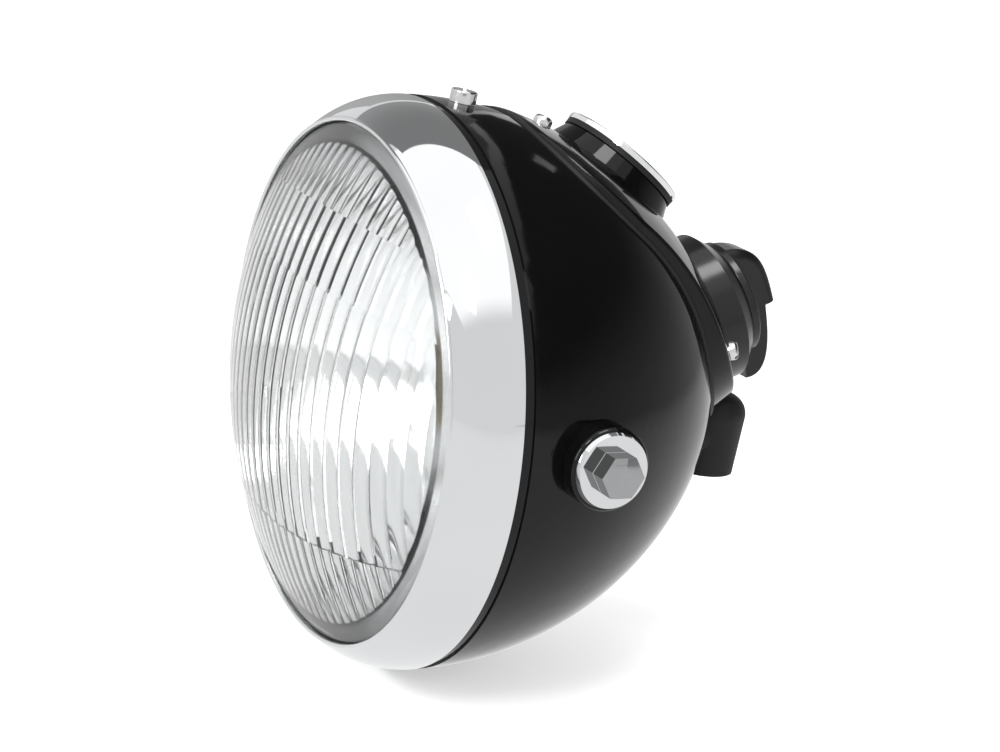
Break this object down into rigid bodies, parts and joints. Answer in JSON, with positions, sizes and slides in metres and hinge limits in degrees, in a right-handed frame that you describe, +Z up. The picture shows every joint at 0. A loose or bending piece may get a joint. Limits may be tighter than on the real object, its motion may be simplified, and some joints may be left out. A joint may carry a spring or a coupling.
{
  "type": "motorcycle headlamp",
  "caption": "Round motorcycle headlamp with a chromed rim and fluted glass, a domed black steel shell, and a rear panel with a gauge and a rotary lighting switch.",
  "frame": {"origin": "on the axis of the two side mounting bolts, in the lamp's middle plane", "axes": "+X along the mounting bolts' axis to the lamp's left hand as the rider sits, -Y out of the glass, +Z up"},
  "size_m": [0.2162, 0.1852, 0.1918],
  "materials": {
    "shell_paint": "gloss black stove enamel",
    "rim_chrome": "bright chromium plate",
    "lens_glass": "clear pressed glass",
    "clear_glass": "clear blown or cut glass",
    "bowl_silver": "vacuum coated and lacquered",
    "black_rubber": "matte moulded",
    "pale_rubber": "matte moulded, pale grey",
    "zinc_steel": "bright zinc plate",
    "cap_brass": "plain",
    "knob_plastic": "polished moulding",
    "inner_plastic": "moulded",
    "gauge_black": "satin black",
    "dial_white": "matte print",
    "needle_black": "matte"
  },
  "bodies": {
    "lamp": {"lamp_shell": "shell_paint", "panel": "shell_paint", "mount_spacers": "shell_paint", "lamp_rim": "rim_chrome", "gauge_bezel": "rim_chrome", "mount_bolts": "rim_chrome", "lens": "lens_glass", "bulb_glass": "clear_glass", "pilot_bulb": "clear_glass", "gauge_glass": "clear_glass", "reflector": "bowl_silver", "panel_gasket": "black_rubber", "gauge_seal": "black_rubber", "cable_elbow": "black_rubber", "lens_seal": "pale_rubber", "rim_clips": "zinc_steel", "rim_screw": "zinc_steel", "rim_tongue": "zinc_steel", "panel_screws": "zinc_steel", "panel_nuts": "zinc_steel", "gauge_clamp": "zinc_steel", "gauge_nuts": "zinc_steel", "switch_nut": "zinc_steel", "mount_nuts": "zinc_steel", "pilot_holder": "zinc_steel", "bulb_filament": "zinc_steel", "bulb_cap": "cap_brass", "switch_skirt": "knob_plastic", "bulb_holder": "inner_plastic", "switch_body": "inner_plastic", "gauge_case": "gauge_black", "gauge_dial": "dial_white"},
    "switch_lever": {"switch_knob": "knob_plastic", "switch_shaft": "zinc_steel", "knob_screw": "zinc_steel"},
    "needle": {"gauge_needle": "needle_black"}
  },
  "joints": [
    {"name": "switch_turn", "type": "hinge", "parent": "lamp", "child": "switch_lever", "pos_m": [0, 0.07955, 0.02145], "axis": [0, 0.9272, 0.3746], "range_deg": [-45, 45]},
    {"name": "needle_swing", "type": "hinge", "parent": "lamp", "child": "needle", "pos_m": [0, 0.04278, 0.06991], "axis": [0, 0.6101, 0.7923], "range_deg": [-45, 45], "stiffness_Nm_per_rad": 0.0001}
  ]
}
